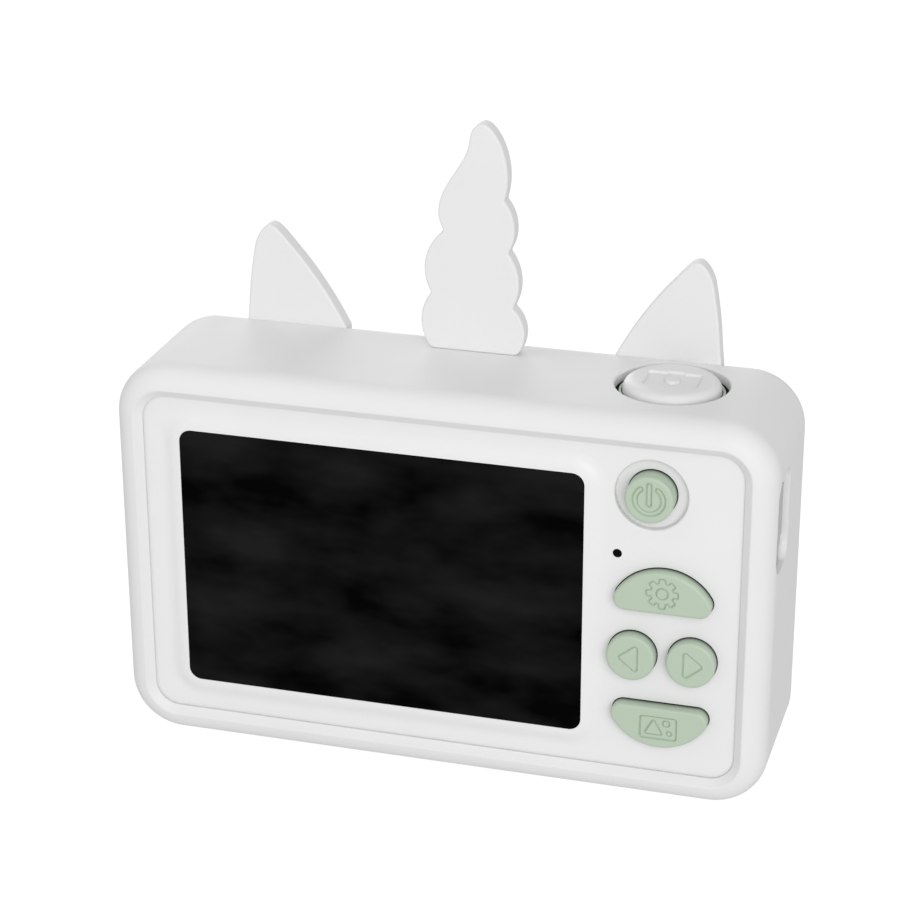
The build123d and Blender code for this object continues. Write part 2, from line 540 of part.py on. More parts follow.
def port_door():
    """The cover over the ports, with a hinge barrel along its front edge."""
    inner = DOOR_FACE_X - DOOR_T
    barrel_bottom, barrel_top = LUG_Z[0][1] + BARREL_END_CLEAR, LUG_Z[1][0] - BARREL_END_CLEAR
    beside_lugs = HINGE_DEPTH - HINGE_R - HINGE_CLEAR
    beside_cheeks = CHEEK_DEPTH - DOOR_CHEEK_GAP
    cuts = [(HINGE_DEPTH, *BAY_Z), (beside_lugs, BAY_Z[0], barrel_bottom), (beside_lugs, barrel_top, BAY_Z[1]),
            (beside_cheeks, BAY_Z[0], CHEEK_Z[0] + DOOR_GAP), (beside_cheeks, CHEEK_Z[1] - DOOR_GAP, BAY_Z[1])]
    solid = sideways(bay_outline(DOOR_GAP), inner, DOOR_FACE_X)
    for start, z0, z1 in cuts:
        solid -= block(inner - CUT, DOOR_FACE_X + CUT, start, BAY[1] + CUT, z0, z1)
    solid += post(HINGE_X, HINGE_DEPTH, HINGE_R, barrel_bottom, barrel_top)
    solid -= post(HINGE_X, HINGE_DEPTH, HINGE_PIN_R + 2 * PIN_FIT, barrel_bottom, barrel_top)
    spot = Pos(BAY[0] + DOOR_NOTCH_SPOT[0], BAY_Z[0] + DOOR_NOTCH_SPOT[1])
    notch = spot * RectangleRounded(DOOR_NOTCH, DOOR_NOTCH, DOOR_NOTCH_R)
    solid -= sideways(notch, DOOR_FACE_X - DOOR_NOTCH_DEPTH, DOOR_FACE_X + CUT)
    return solid


# ---- icons ---------------------------------------------------------------------------------------
def power_icon():
    """A ring that is open at the top, with a bar in the gap."""
    radius, stroke, turn = 2.45, 0.78, radians(37)
    bar_middle, bar_length, bar_width = 1.0, 4.24, 0.84
    ring = Circle(radius + stroke / 2) - Circle(radius - stroke / 2)
    across, up = 2 * radius * sin(turn), 2 * radius * cos(turn)
    gap = make_face(Polyline((0, 0), (-across, up), (across, up), close=True))
    ends = [Pos(s * radius * sin(turn), radius * cos(turn)) * Circle(stroke / 2) for s in (-1, 1)]
    return (ring - gap) + ends + Pos(0, bar_middle) * SlotOverall(bar_length, bar_width, rotation=90)


def gear_icon():
    """An eight-tooth gear with its hub left standing."""
    count, wheel_r, hub_r = 8, 2.05, 1.0
    tooth_middle, tooth_w, tooth_h, tooth_r = 2.2, 1.15, 1.2, 0.3
    tooth = Pos(0, tooth_middle) * RectangleRounded(tooth_w, tooth_h, tooth_r)
    teeth = [Rot(0, 0, 360 / count * i) * tooth for i in range(count)]
    return (Circle(wheel_r) + teeth) - Circle(hub_r)


def arrow_icon(side):
    """A triangle with rounded corners that points away from the middle; side is +1 or -1."""
    tip, back, half_height, corner_r = 2.3, -1.25, 2.85, 0.45
    corners = [(side * tip, 0), (side * back, half_height), (side * back, -half_height)]
    sketch = make_face(Polyline(*corners, close=True))
    return fillet(sketch.vertices(), corner_r)


def gallery_icon():
    """A picture: a frame with a hill and two round spots left standing."""
    width, height, corner_r, hill_r = 6.45, 4.25, 0.5, 0.25
    hill_corners = [(-2.5, -1.3), (0.85, -1.3), (-0.82, 1.7)]
    spots = [(1.42, 1.02, 0.58), (1.96, -0.88, 0.42)]
    hill = make_face(Polyline(*hill_corners, close=True))
    frame = RectangleRounded(width, height, corner_r) - fillet(hill.vertices(), hill_r)
    return frame - [Pos(x, z) * Circle(radius) for x, z, radius in spots]


def camera_icon():
    """A small camera with its lens left standing and a hump towards the front."""
    width, height, corner_r, lens_r = 9.5, 6.3, 0.6, 1.4
    hump_w, hump_h = 2.9, 0.4
    hump = Pos(0, height / 2) * Rectangle(hump_w, 2 * hump_h)
    return (RectangleRounded(width, height, corner_r) + hump) - Circle(lens_r)


# ---- buttons -------------------------------------------------------------------------------------
def round_outline(x, z, radius):
    return lambda grow: Pos(x, z) * Circle(radius + grow)


def moon_outline(side):
    return lambda grow: moon(side, grow)


def push_button(outline, x, z, icon):
    """A cap with a pressed-in icon, a flange behind the plate and a stem over its switch."""
    cap = slab(outline(-BUTTON_GAP), -BUTTON_PROUD, FLANGE[0])
    cap = fillet(cap.edges().group_by(Axis.Y)[0], BUTTON_TOP_R)
    flange = slab(outline(FLANGE_WIDER - BUTTON_GAP), *FLANGE)
    stem = disc(x, z, STEM_R, FLANGE[1], STEM_END)
    pressed = slab(Pos(x, z) * icon, -BUTTON_PROUD - CUT, -BUTTON_PROUD + ICON_DEPTH)
    return cap + flange + stem - pressed


def arrow_button(side):
    """The left or the right round button; side is -1 or +1."""
    x = CLUSTER_X + side * ARROW_OFFSET
    return push_button(round_outline(x, CLUSTER_Z, ROUND_HOLE_R), x, CLUSTER_Z, arrow_icon(side))


def moon_button(side, icon):
    """The upper or the lower half-moon button; side is +1 or -1."""
    return push_button(moon_outline(side), CLUSTER_X, CLUSTER_Z + side * MOON_STEM, icon)


def power_button():
    return push_button(round_outline(POWER_X, POWER_Z, POWER_HOLE_R), POWER_X, POWER_Z, power_icon())


def shutter_button():
    """The large round cap on the top, with two side tabs that keep it in and a stem over its switch."""
    spot = Pos(SHUTTER_X, SHUTTER)
    tab_top, tab_bottom = SHUTTER_FLANGE_TOP, SHUTTER_FLANGE_TOP - SHUTTER_TAB_T
    cap = post(SHUTTER_X, SHUTTER, SHUTTER_CAP_R, tab_bottom, SHUTTER_TOP)
    cap = fillet(cap.edges().group_by(Axis.Z)[-1], SHUTTER_EDGE_R)
    tabs = Circle(SHUTTER_FLANGE_R) & Rectangle(4 * SHUTTER_FLANGE_R, 2 * SHUTTER_TAB_HALF)
    cap += upright(spot * tabs, tab_bottom, tab_top)
    cap += post(SHUTTER_X, SHUTTER, SHUTTER_STEM_R, SHUTTER_STEM_BOTTOM, tab_bottom)
    hollow = Circle(SHUTTER_CAP_R - SHUTTER_HOLLOW_WALL) - Circle(SHUTTER_STEM_R)
    cap -= upright(spot * hollow, tab_bottom, tab_top + SHUTTER_HOLLOW_H)
    return cap - upright(spot * camera_icon(), SHUTTER_TOP - SHUTTER_ICON_DEPTH, SHUTTER_TOP + CUT)


def shutter_ring(outer, inner, height):
    """A flat ring on the shell, round the shutter button."""
    return upright(Pos(SHUTTER_X, SHUTTER) * (Circle(outer) - Circle(inner)), SHELL_TOP, SHELL_TOP + height)


def shutter_collar():
    """The thin green ring that guides the shutter button."""
    return shutter_ring(SHUTTER_COLLAR_R, SHUTTER_HOLE_R, SHUTTER_COLLAR_H)


def shutter_seal():
    """The black foam ring that fills the space between the collar and the sleeve."""
    return shutter_ring(SLEEVE_HOLE_R - FIT, SHUTTER_COLLAR_R + FIT, SHUTTER_SEAL_H)


# ---- screen parts --------------------------------------------------------------------------------
def lcd_outline(inset):
    return Pos(SCREEN_X, SCREEN_Z) * Rectangle(LCD_W - 2 * inset, LCD_H - 2 * inset)


def lcd_tray():
    """A thin folded metal tray, open towards the glass."""
    back = LCD_BACK + LCD_BEZEL_T
    return slab(lcd_outline(0), LCD_FRONT, back) - slab(lcd_outline(LCD_BEZEL_T), LCD_FRONT - CUT, LCD_BACK)


def ribbon(path, x0, x1):
    """A flat flexible cable that follows a path drawn in depth and Z."""
    return sideways(trace(path, RIBBON_T), x0, x1)


def lcd_flex():
    """The display's ribbon, folded round its lower edge on to the board."""
    near = LCD_BACK + LCD_BEZEL_T + RIBBON_T
    far = BOARD[0] - RIBBON_T
    turn = LCD_FLEX_TURN_Z
    start_z, end_z = LCD_FLEX_Z
    bend = ThreePointArc((near, turn), ((near + far) / 2, turn - (far - near) / 2), (far, turn))
    return ribbon(Line((near, start_z), (near, turn)) + bend + Line((far, turn), (far, end_z)), *LCD_FLEX_X)


def foam_strips():
    """Two foam strips that press the display forwards from the board."""
    return [block(x - FOAM_W / 2, x + FOAM_W / 2, LCD_BACK + LCD_BEZEL_T, BOARD[0], *FOAM_Z) for x in FOAM_X]


# ---- electronics ---------------------------------------------------------------------------------
def main_board():
    """The board behind the display, cut away round the case posts and the strap pocket."""
    solid = block(-BOARD_X, BOARD_X, *BOARD, *BOARD_Z)
    corner = BOARD_CORNER
    through = BOARD[0] - CUT, BOARD[1] + CUT
    for x in (-BOARD_X, BOARD_X):
        for z in BOARD_Z:
            solid -= block(x - corner, x + corner, *through, z - corner, z + corner)
    pocket_z = STRAP_POCKET[2] - BOARD_POCKET_GAP
    solid -= block(-BOARD_X - CUT, -BOARD_X + corner, *through, pocket_z, BOARD_Z[1])
    return solid - [disc(x, z, BOARD_HOLE_R, *through) for x, z in BOARD_POSTS]


def board_chips():
    """The larger packages and plugs on the board's front face."""
    return [block(x - w / 2, x + w / 2, BOARD[1], BOARD[1] + t, z - h / 2, z + h / 2)
            for x, z, w, h, t in CHIPS]


def tact_switch(x, z):
    """A square switch with its plunger just clear of the button's stem."""
    top = STEM_END + BUTTON_TRAVEL + FIT
    half = SWITCH_HALF
    body = block(x - half, x + half, top + SWITCH_PLUNGER_H, BOARD[0], z - half, z + half)
    return body + disc(x, z, SWITCH_PLUNGER_R, top, BOARD[0])


def shutter_switch():
    """A square switch on the small upright-facing board under the shutter button."""
    top = SHUTTER_STEM_BOTTOM - SHUTTER_TRAVEL - FIT
    base = SHUTTER_BOARD_Z + SHUTTER_BOARD_T
    body = upright(Pos(SHUTTER_X, SHUTTER) * Rectangle(2 * SHUTTER_SWITCH_HALF, 2 * SHUTTER_SWITCH_HALF),
                   base, top - SHUTTER_PLUNGER_H)
    return body + post(SHUTTER_X, SHUTTER, SHUTTER_PLUNGER_R, base, top)


def shutter_board():
    bottom, top = SHUTTER_BOARD_Z, SHUTTER_BOARD_Z + SHUTTER_BOARD_T
    board = upright(Pos(SHUTTER_X, SHUTTER) * Rectangle(2 * SHUTTER_BOARD_HALF_X, 2 * SHUTTER_BOARD_HALF_Y),
                    bottom, top)
    return board - [post(x, SHUTTER, BOARD_HOLE_R, bottom - CUT, top + CUT) for x in SHUTTER_SCREWS]


def stadium(width, height):
    return SlotOverall(width, height, rotation=90)


def usb_port():
    """A USB-C receptacle on the board's rear face: a rounded shell with a tongue inside."""
    start, end = USB_X
    centre = Pos(BOARD[0] - USB_T / 2, USB_Z)
    shell = sideways(centre * stadium(USB_W, USB_T), start, end)
    inside = stadium(USB_W - 2 * USB_METAL, USB_T - 2 * USB_METAL)
    shell -= sideways(centre * inside, start + USB_BACK, end + CUT)
    return shell + sideways(centre * Rectangle(*USB_TONGUE), start + USB_TONGUE_ROOT, end - USB_TONGUE_END)


def memory_card():
    """A memory card with the usual notch along one side."""
    x0, x1 = CARD_X
    z0, z1 = CARD_Z
    card = block(x0, x1, *CARD, z0, z1)
    length, height = CARD_NOTCH
    return card - block(x0 - CUT, x0 + length, CARD[0] - CUT, CARD[1] + CUT, z1 - height, z1 + CUT)


def card_socket():
    """The metal-covered socket on the board's front face that holds the memory card."""
    x0, x1 = CARD_X[0] - SOCKET_BACK, SOCKET_END
    z0, z1 = CARD_Z
    shell = block(x0, x1, BOARD[1], CARD[1] + SOCKET_COVER, z0 - SOCKET_SIDE, z1 + SOCKET_SIDE)
    slot = block(CARD_X[0] - CARD_PUSH - CARD_CLEAR, x1 + CUT, CARD[0] - FIT, CARD[1] + FIT,
                 z0 - CARD_CLEAR, z1 + CARD_CLEAR)
    return shell - slot


def battery_wires():
    """Two wires from the top of the battery to its plug on the board."""
    wires = []
    start_y, top_y, end_y = (GLASS_Y + depth for depth in WIRE_DEPTHS)
    start_z, end_z = BATTERY_Z[1], PLUG_Z + PLUG_HEIGHT
    for x in (WIRE_X - WIRE_SPREAD, WIRE_X + WIRE_SPREAD):
        path = Spline((x, start_y, start_z), (x, top_y, start_z + WIRE_RISE), (x, end_y, end_z),
                      tangents=[(0, 0, 1), (0, 0, -1)])
        wires.append(sweep(Plane((x, start_y, start_z), z_dir=path % 0) * Circle(WIRE_R), path))
    return wires


def battery_plug():
    """The white plug that joins the battery's wires to the board."""
    return block(WIRE_X - PLUG_HALF, WIRE_X + PLUG_HALF, BOARD[1], PLUG_END, PLUG_Z - PLUG_HEIGHT,
                 PLUG_Z + PLUG_HEIGHT)


def battery():
    """A flat pouch cell with rounded upright edges."""
    cell = block(*BATTERY_X, *BATTERY, *BATTERY_Z)
    return fillet(cell.edges().filter_by(Axis.Z), BATTERY_R)


def microphone_boot():
    """The rubber sleeve that seals the microphone to the rear plate."""
    ring = Circle(MIC_BOOT_R) - Circle(MIC_R)
    return slab(Pos(MIC_X, MIC_Z) * ring, PLATE_INNER, MIC_BOOT_END)


def speaker():
    """A round speaker with a stepped magnet cup."""
    end = FRONT_WALL_INNER
    cup = disc(SPEAKER_X, SPEAKER_Z, SPEAKER_R, end - SPEAKER_RIM_T, end)
    return cup + disc(SPEAKER_X, SPEAKER_Z, SPEAKER_R * SPEAKER_MAGNET, end - SPEAKER_T, end)


# ---- lens and flash ------------------------------------------------------------------------------
def ring_turned(points):
    """A solid of revolution about the lens axis from points given as radius and depth."""
    profile = make_face(Polyline(*[(r, GLASS_Y + depth) for r, depth in points], close=True))
    return Pos(0, 0, LENS_Z) * revolve(profile, Axis.Y)


def lens_bezel():
    """The raised ring round the lens, with a spigot through the front shell."""
    seat = SHELL_FRONT
    spigot_r, mouth_r, shelf_r = LENS_HOLE_R - BEZEL_BACK, BEZEL_R - BEZEL_WIDTH, WINDOW_R - WINDOW_SHELF
    ring = ring_turned([(spigot_r, FRONT_WALL_INNER), (LENS_HOLE_R, FRONT_WALL_INNER), (LENS_HOLE_R, seat),
                        (BEZEL_R, seat), (BEZEL_R, LENS_FRONT), (mouth_r, LENS_FRONT), (mouth_r, WINDOW[0]),
                        (shelf_r, WINDOW[0]), (shelf_r, seat + BEZEL_BACK), (spigot_r, seat + BEZEL_BACK)])
    return fillet(ring.edges().group_by(Axis.Y)[-1], BEZEL_SOFT_R)


def lens_barrel():
    """The stepped black barrel between the sensor board and the window."""
    return ring_turned(BARREL)


def lens_element():
    """The domed front element, held in the barrel's mouth."""
    rear, edge, crown = ELEMENT_DEPTHS
    ball = Pos(0, GLASS_Y + edge - ELEMENT_BALL_BACK, LENS_Z) * Sphere(ELEMENT_BALL_R)
    return disc(0, LENS_Z, ELEMENT_R, rear, edge) + (ball & disc(0, LENS_Z, ELEMENT_R, edge, crown))


def sensor_board():
    """The camera's own small board with the sensor on it."""
    start, end = SENSOR_BOARD
    middle = Pos(0, LENS_Z)
    board = slab(middle * Rectangle(2 * SENSOR_BOARD_HALF_X, 2 * SENSOR_BOARD_HALF_Z), start, end)
    board -= [disc(x, LENS_Z, SENSOR_HOLE_R, start - CUT, end + CUT) for x in CAMERA_POSTS]
    return board + slab(middle * Rectangle(2 * SENSOR_X, 2 * SENSOR_HALF_Z), start, end + SENSOR_T)


def camera_flex():
    """The ribbon from the sensor board down to the main board."""
    near = BOARD[1] + RIBBON_T
    far = SENSOR_BOARD[0] - RIBBON_T
    top, leave, land, bottom = CAMERA_FLEX_Z
    curve = Spline((far, leave), (near, land), tangents=[(0, -1), (0, -1)])
    path = Line((far, top), (far, leave)) + curve + Line((near, land), (near, bottom))
    return ribbon(path, -CAMERA_FLEX_HALF, CAMERA_FLEX_HALF)


def flash_led():
    """A small round board with a domed LED."""
    seat = FRONT_WALL_INNER
    base = disc(FLASH_X, FLASH_Z, FLASH_BASE_R, seat - FLASH_BASE_T, seat)
    ball = Pos(FLASH_X, GLASS_Y + seat, FLASH_Z) * Sphere(FLASH_DOME_R)
    return base + (ball & disc(FLASH_X, FLASH_Z, FLASH_DOME_R, seat, SHELL_FRONT + CUT))


def flash_window():
    return disc(FLASH_X, FLASH_Z, FLASH_WINDOW_R, SHELL_FRONT, SLEEVE_FRONT - FLASH_WINDOW_SINK)


# ---- screws --------------------------------------------------------------------------------------
def cross_slot(size, start, end):
    return slab(Rectangle(size, size / 4) + Rectangle(size / 4, size), start, end)


def screw(sizes, head, tip):
    """A pan-head screw along +Y at the origin, its head between two depths and its tip further back."""
    head_r, shank_r = sizes[:2]
    start, end = head
    solid = disc(0, 0, head_r, start, end) + disc(0, 0, shank_r, tip, start)
    return solid - cross_slot(CROSS_SIZE * head_r, end - CROSS_DEPTH, end + CUT)


def screws_at(spots, pattern):
    return [Pos(x, 0, z) * pattern for x, z in spots]


def shutter_screws():
    """Two screws that hold the shutter board down on to its posts."""
    head_r, shank_r, _ = SHUTTER_SCREW
    seat = SHUTTER_BOARD_Z + SHUTTER_BOARD_T
    tip, top = seat - SHUTTER_SCREW_LENGTH, seat + SHUTTER_SCREW_HEAD_T
    arm = CROSS_SIZE * head_r
    screws = []
    for x in SHUTTER_SCREWS:
        body = post(x, SHUTTER, head_r, seat, top) + post(x, SHUTTER, shank_r, tip, seat)
        slot = Pos(x, SHUTTER) * (Rectangle(arm, arm / 4) + Rectangle(arm / 4, arm))
        screws.append(body - upright(slot, top - CROSS_DEPTH, top + CUT))
    return screws


def camera_screws():
    """Two screws that hold the sensor's board to the front shell, driven from behind."""
    head_r, shank_r, _ = CAMERA_SCREW
    seat = SENSOR_BOARD[0]
    head_end = seat - CAMERA_SCREW_HEAD_T
    body = disc(0, 0, head_r, head_end, seat) + disc(0, 0, shank_r, seat, CAMERA_SCREW_TIP)
    body -= cross_slot(CROSS_SIZE * head_r, head_end - CUT, head_end + CROSS_DEPTH)
    return screws_at([(x, LENS_Z) for x in CAMERA_POSTS], body)


# ---- write every node ----------------------------------------------------------------------------
NODES = {
    "silicone_sleeve": silicone_sleeve,
    "horn": horn,
    "rear_shell": rear_shell,
    "front_shell": front_shell,
    "screen_glass": lambda: slab(screen_outline(0), 0, GLASS_T),
    "lcd_panel": lambda: slab(lcd_outline(LCD_BEZEL_T + FIT), LCD_FRONT, LCD_PANEL_BACK),
    "lcd_backlight": lambda: slab(lcd_outline(LCD_BEZEL_T + FIT), LCD_PANEL_BACK, LCD_BACK),
    "lcd_tray": lcd_tray,
    "lcd_flex": lcd_flex,
    "foam_strips": foam_strips,
    "main_board": main_board,
    "board_chips": board_chips,
    "tact_switches": lambda: [tact_switch(x, z) for x, z in SWITCH_SPOTS],
    "microphone": lambda: disc(MIC_X, MIC_Z, MIC_R - FIT, BOARD[0] - MIC_T, BOARD[0]),
    "microphone_boot": microphone_boot,
    "microphone_gauze": lambda: disc(MIC_X, MIC_Z, MIC_HOLE_R - GAUZE_FIT, *MIC_GAUZE),
    "speaker": speaker,
    "battery": battery,
    "battery_pad": lambda: block(*PAD_X, BATTERY[1], FRONT_WALL_INNER, *PAD_Z),
    "battery_wires": battery_wires,
    "battery_plug": battery_plug,
    "usb_port": usb_port,
    "card_socket": card_socket,
    "memory_card": memory_card,
    "port_door": port_door,
    "hinge_pin": hinge_pin,
    "strap_bar": strap_bar,
    "power_button": power_button,
    "settings_button": lambda: moon_button(1, gear_icon()),
    "gallery_button": lambda: moon_button(-1, gallery_icon()),
    "left_button": lambda: arrow_button(-1),
    "right_button": lambda: arrow_button(1),
    "shutter_button": shutter_button,
    "shutter_collar": shutter_collar,
    "shutter_seal": shutter_seal,
    "shutter_board": shutter_board,
    "shutter_switch": shutter_switch,
    "lens_bezel": lens_bezel,
    "lens_window": lambda: disc(0, LENS_Z, WINDOW_R, *WINDOW),
    "lens_barrel": lens_barrel,
    "lens_element": lens_element,
    "sensor_board": sensor_board,
    "camera_flex": camera_flex,
    "flash_led": flash_led,
    "flash_window": flash_window,
    "case_screws": lambda: screws_at(CASE_POSTS, screw(CASE_SCREW, CASE_SCREW_HEAD, CASE_SCREW_TIP)),
    "board_screws": lambda: screws_at(BOARD_POSTS, screw(BOARD_SCREW, BOARD_SCREW_HEAD, BOARD_SCREW_TIP)),
    "camera_screws": camera_screws,
    "shutter_screws": shutter_screws,
}

os.makedirs("parts", exist_ok=True)
for node, make in NODES.items():
    place(node, make())
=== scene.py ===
from math import cos, pi, radians, sin

import bpy
import numpy as np
from mathutils import Matrix, Vector


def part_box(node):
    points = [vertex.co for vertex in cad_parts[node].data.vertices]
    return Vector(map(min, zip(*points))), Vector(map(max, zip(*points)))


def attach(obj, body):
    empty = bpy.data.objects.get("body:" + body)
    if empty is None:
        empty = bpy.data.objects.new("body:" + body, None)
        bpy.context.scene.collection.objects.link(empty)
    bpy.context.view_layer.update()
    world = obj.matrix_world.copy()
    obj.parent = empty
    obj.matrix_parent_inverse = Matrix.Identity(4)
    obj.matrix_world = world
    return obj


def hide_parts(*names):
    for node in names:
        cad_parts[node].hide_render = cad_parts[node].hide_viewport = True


# A child's digital camera in a white silicone sleeve, seen from its screen side.
# Lengths below are millimetres; MM turns them into the scene's metres.
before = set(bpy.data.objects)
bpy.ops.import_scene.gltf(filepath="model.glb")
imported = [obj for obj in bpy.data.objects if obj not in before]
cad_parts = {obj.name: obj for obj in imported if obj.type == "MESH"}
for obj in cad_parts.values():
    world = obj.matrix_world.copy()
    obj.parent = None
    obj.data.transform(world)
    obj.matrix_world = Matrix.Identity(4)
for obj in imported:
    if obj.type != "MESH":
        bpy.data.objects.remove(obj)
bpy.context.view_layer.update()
MM = 0.001

# ---- camera and light ----------------------------------------------------------------------------
CAMERA_AIM = Vector((-0.107, 0.0, 53.757)) * MM
CAMERA_DISTANCE = 470.54 * MM
CAMERA_AZIMUTH, CAMERA_ELEVATION, CAMERA_ROLL = radians(16.141), radians(23.065), radians(-0.117)
LENS, SENSOR = 103.494, 36.0

FLOOR_SIZE = 6.0
FLOOR_ALBEDO, FLOOR_FADED = 0.16, 0.98
FLOOR_LIGHT, FLOOR_SEEN = 0.52, 0.92
SKY_LIGHT, SKY_SEEN = 0.56, 1.0
# azimuth and elevation in degrees, distance and width in metres, power in watts
LIGHTS = {
    "key_light": (24.0, 20.0, 1.3, 1.1, 8.95),
    "left_light": (-70.0, 50.0, 0.35, 0.25, 0.12),
    "front_light": (202.0, 8.0, 1.3, 1.1, 6.0),
}

# ---- button caps ---------------------------------------------------------------------------------
CAP_STEP = 0.085
CREASE = radians(40)
ICON_WALL, ICON_DEPTH = 0.3, 0.14
GROOVE_HALF, GROOVE_DEPTH = 0.2, 0.32
# how far the painted shade in a gap reaches up the wall, how fast it fades, and how much colour is left in
# it
GAP_SHADE, GAP_FALLOFF, GAP_TONE = 2.0, 2.3, 0.04
CAP_EDGE_R = 0.5
FLANGE_WIDER = 0.8
FLANGE_THICKNESS = 1.0
STEM_LENGTH = 2.1
STEM_R = 1.5
EDGE_STEPS = 7
MOON_R, MOON_CORNER_R = 9.65, 2.05
PLATE_DEPTH, POWER_DISH = 0.75, 1.25

SHUTTER_CAP_R = 8.6
SHUTTER_EDGE_R = 1.7
SHUTTER_ICON_DEPTH, SHUTTER_GROOVE_DEPTH = 0.45, 0.2
SHUTTER_TAB_HALF = 4.0
SHUTTER_TAB_DROP = 1.2
SHUTTER_STEM_R = 2.0
SHUTTER_TAB_TOP = 4.9


# ---- icon shapes: signed distances, negative inside ----------------------------------------------
def circle_distance(x, z, radius):
    """A circle round the origin."""
    return np.hypot(x, z) - radius


def box_distance(x, z, width, height, radius):
    """A rectangle with rounded corners."""
    dx = np.abs(x) - width / 2 + radius
    dz = np.abs(z) - height / 2 + radius
    outside = np.hypot(np.maximum(dx, 0), np.maximum(dz, 0))
    return outside + np.minimum(np.maximum(dx, dz), 0) - radius


def capsule_distance(x, z, half_length, radius):
    """An upright bar with round ends."""
    return np.hypot(x, z - np.clip(z, -half_length, half_length)) - radius


def triangle_distance(x, z, corners, radius):
    """A triangle with rounded corners, whose sides lie where the sharp triangle's would."""
    corners = np.array(corners, float)
    lengths = [np.linalg.norm(corners[i - 1] - corners[i - 2]) for i in range(3)]
    centre = np.average(corners, axis=0, weights=lengths)
    (ax, az), (bx, bz), (cx, cz) = corners
    inradius = abs((bx - ax) * (cz - az) - (cx - ax) * (bz - az)) / sum(lengths)
    corners = centre + (corners - centre) * (1 - radius / inradius)
    nearest = np.full(x.shape, np.inf)
    inside = np.ones(x.shape, bool)
    for i in range(3):
        (px, pz), (qx, qz) = corners[i - 1], corners[i]
        ex, ez = qx - px, qz - pz
        along = np.clip(((x - px) * ex + (z - pz) * ez) / (ex * ex + ez * ez), 0, 1)
        nearest = np.minimum(nearest, np.hypot(x - px - along * ex, z - pz - along * ez))
        towards_centre = ex * (centre[1] - pz) - ez * (centre[0] - px)
        inside &= (ex * (z - pz) - ez * (x - px)) * towards_centre > 0
    return np.where(inside, -nearest, nearest) - radius


def power_icon(x, z):
    """A ring that is open at the top, with a bar in the gap."""
    ring_r, stroke, gap = 2.45, 0.39, radians(37)
    bar_z, bar_half, bar_r = 1.0, 1.7, 0.42
    in_gap = np.abs(np.arctan2(x, z)) < gap
    ends = np.hypot(np.abs(x) - ring_r * sin(gap), z - ring_r * cos(gap))
    ring = np.where(in_gap, ends, np.abs(np.hypot(x, z) - ring_r)) - stroke
    return np.minimum(ring, capsule_distance(x, z - bar_z, bar_half, bar_r))


def gear_icon(x, z):
    """An eight-tooth gear round a hub that is left standing."""
    teeth, wheel_r, hub_r = 8, 2.05, 1.0
    tooth_middle, tooth_w, tooth_h, tooth_r = 2.2, 1.15, 1.2, 0.3
    shape = circle_distance(x, z, wheel_r)
    for i in range(teeth):
        turn = 2 * pi * i / teeth
        along, across = x * sin(turn) + z * cos(turn), x * cos(turn) - z * sin(turn)
        shape = np.minimum(shape, box_distance(across, along - tooth_middle, tooth_w, tooth_h, tooth_r))
    return np.maximum(shape, -circle_distance(x, z, hub_r))


def arrow_icon(side):
    """A triangle that points left or right; side is -1 or +1."""
    tip, back, half_height, corner_r, drop = 2.3, -1.25, 2.85, 0.45, 0.12
    corners = [(side * tip, 0.0), (side * back, half_height), (side * back, -half_height)]
    return lambda x, z: triangle_distance(x, z + drop, corners, corner_r)


def gallery_icon(x, z):
    """A picture frame with a hill and two spots that are left standing."""
    width, height, corner_r, hill_r = 6.45, 4.25, 0.5, 0.25
    hill_corners = [(-2.5, -1.3), (0.85, -1.3), (-0.82, 1.7)]
    spots = [(1.42, 1.02, 0.58), (1.96, -0.88, 0.42)]
    standing = triangle_distance(x, z, hill_corners, hill_r)
    for spot_x, spot_z, spot_r in spots:
        standing = np.minimum(standing, circle_distance(x - spot_x, z - spot_z, spot_r))
    return np.maximum(box_distance(x, z, width, height, corner_r), -standing)


def camera_icon(x, y):
    """A small camera whose lens is left standing, with a hump towards the front."""
    width, height, corner_r, lens_r = 9.5, 6.3, 0.6, 1.4
    hump_y, hump_w, hump_h, hump_r = 2.95, 2.9, 1.2, 0.15
    body = box_distance(x, y, width, height, corner_r)
    hump = box_distance(x, y - hump_y, hump_w, hump_h, hump_r)
    return np.maximum(np.minimum(body, hump), -circle_distance(x, y, lens_r))


# ---- cap outlines: closed rings of points round the origin ---------------------------------------
def arc(centre, radius, start, end, count):
    """Points along an arc between two angles, without its last."""
    turns = np.linspace(start, end, count, endpoint=False)
    return np.stack([centre[0] + radius * np.cos(turns), centre[1] + radius * np.sin(turns)], axis=1)


def circle_outline(radius):
    """A circle, as a function of how far it is moved outwards."""
    count = int(2 * pi * radius / CAP_STEP)
    return lambda grow: arc((0, 0), radius + grow, 0, 2 * pi, count)


def moon_outline(side, height):
    """A half moon whose flat side looks at -side; its middle lies half-way between flat and apex."""
    flat, apex = -height / 2, height / 2
    hub = apex - MOON_R
    corner_z = flat + MOON_CORNER_R
    corner_x = np.sqrt((MOON_R - MOON_CORNER_R) ** 2 - (corner_z - hub) ** 2)
    meet = np.arctan2(corner_z - hub, corner_x)
    corner_count = int(MOON_CORNER_R * (meet + pi / 2) / CAP_STEP)
    dome_count = int(MOON_R * (pi - 2 * meet) / CAP_STEP)
    flat_count = int(2 * corner_x / CAP_STEP)

    def outline(grow):
        corner_r = MOON_CORNER_R + grow
        level = np.linspace(-corner_x, corner_x, flat_count, endpoint=False)
        points = np.concatenate([
            arc((corner_x, corner_z), corner_r, -pi / 2, meet, corner_count),
            arc((0, hub), MOON_R + grow, meet, pi - meet, dome_count),
            arc((-corner_x, corner_z), corner_r, pi - meet, 3 * pi / 2, corner_count),
            np.stack([level, np.full(flat_count, flat - grow)], axis=1)])
        return points * (1, side)
    return outline


